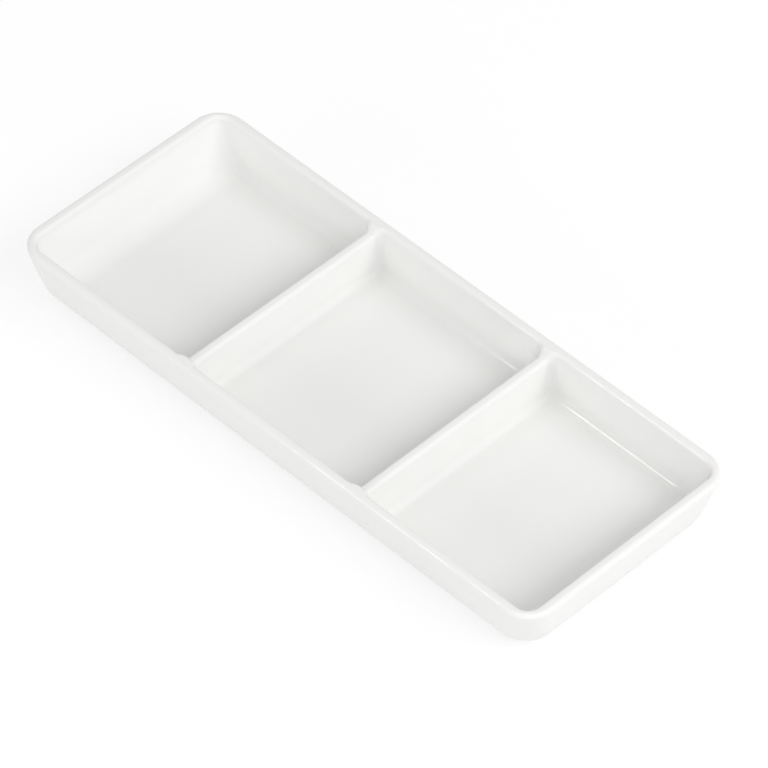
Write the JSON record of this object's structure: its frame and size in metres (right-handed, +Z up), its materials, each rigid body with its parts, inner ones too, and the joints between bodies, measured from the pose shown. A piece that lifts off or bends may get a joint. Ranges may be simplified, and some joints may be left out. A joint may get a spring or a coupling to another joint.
{
  "type": "divided serving dish",
  "caption": "Shallow rectangular serving dish with upright divider walls that part it into square compartments, in white glazed porcelain on a bare foot ring.",
  "frame": {"origin": "under the middle of the dish, in the plane of the foot ring's lower face", "axes": "+X along the dish towards its right end, +Y across it towards its far side, +Z up out of the compartments"},
  "size_m": [0.24, 0.096, 0.024],
  "materials": {
    "glaze": "gloss",
    "bare_foot": "matt"
  },
  "bodies": {
    "root": {"dish_body": "glaze", "left_divider": "glaze", "right_divider": "glaze", "foot_ring": "bare_foot"}
  },
  "joints": []
}
